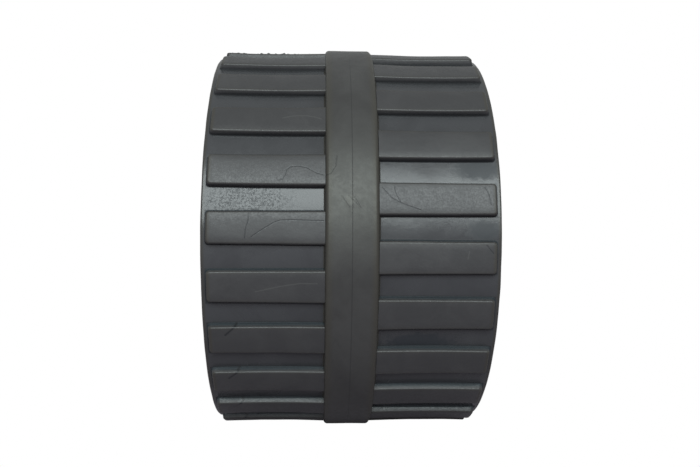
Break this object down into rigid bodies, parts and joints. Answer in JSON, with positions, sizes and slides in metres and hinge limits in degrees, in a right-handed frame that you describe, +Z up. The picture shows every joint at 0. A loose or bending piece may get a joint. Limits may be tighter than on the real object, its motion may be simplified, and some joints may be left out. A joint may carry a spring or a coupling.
{
  "type": "rubber track",
  "caption": "Endless rubber track with a smooth centre rib, staggered transverse lugs on both sides of it, a corded belt, and roller paths and drive lugs inside.",
  "frame": {"origin": "centre of the ring, on its axis and midway between its two edges", "axes": "+Y along the ring's axis towards the right-hand edge; +X towards the front; +Z up"},
  "size_m": [0.231, 0.15, 0.231],
  "materials": {
    "tread_rubber": "satin",
    "base_rubber": "satin",
    "inner_rubber": "satin",
    "skim_rubber": "matt",
    "ply_fabric": "woven cord ply",
    "cord_steel": "brass-coated"
  },
  "bodies": {
    "root": {"tread_cover": "base_rubber", "outer_ply": "ply_fabric", "cord_skim": "skim_rubber", "steel_cords": "cord_steel", "inner_ply": "ply_fabric", "inner_cover": "inner_rubber", "left_edge_strip": "base_rubber", "right_edge_strip": "base_rubber", "left_roller_path": "inner_rubber", "right_roller_path": "inner_rubber", "drive_lugs": "inner_rubber", "centre_rib": "tread_rubber", "left_lug_01": "tread_rubber", "left_lug_02": "tread_rubber", "left_lug_03": "tread_rubber", "left_lug_04": "tread_rubber", "left_lug_05": "tread_rubber", "left_lug_06": "tread_rubber", "left_lug_07": "tread_rubber", "left_lug_08": "tread_rubber", "left_lug_09": "tread_rubber", "left_lug_10": "tread_rubber", "left_lug_11": "tread_rubber", "left_lug_12": "tread_rubber", "left_lug_13": "tread_rubber", "left_lug_14": "tread_rubber", "left_lug_15": "tread_rubber", "left_lug_16": "tread_rubber", "left_lug_17": "tread_rubber", "left_lug_18": "tread_rubber", "left_lug_19": "tread_rubber", "left_lug_20": "tread_rubber", "left_lug_21": "tread_rubber", "left_lug_22": "tread_rubber", "left_lug_23": "tread_rubber", "left_lug_24": "tread_rubber", "right_lug_01": "tread_rubber", "right_lug_02": "tread_rubber", "right_lug_03": "tread_rubber", "right_lug_04": "tread_rubber", "right_lug_05": "tread_rubber", "right_lug_06": "tread_rubber", "right_lug_07": "tread_rubber", "right_lug_08": "tread_rubber", "right_lug_09": "tread_rubber", "right_lug_10": "tread_rubber", "right_lug_11": "tread_rubber", "right_lug_12": "tread_rubber", "right_lug_13": "tread_rubber", "right_lug_14": "tread_rubber", "right_lug_15": "tread_rubber", "right_lug_16": "tread_rubber", "right_lug_17": "tread_rubber", "right_lug_18": "tread_rubber", "right_lug_19": "tread_rubber", "right_lug_20": "tread_rubber", "right_lug_21": "tread_rubber", "right_lug_22": "tread_rubber", "right_lug_23": "tread_rubber", "right_lug_24": "tread_rubber"}
  },
  "joints": []
}
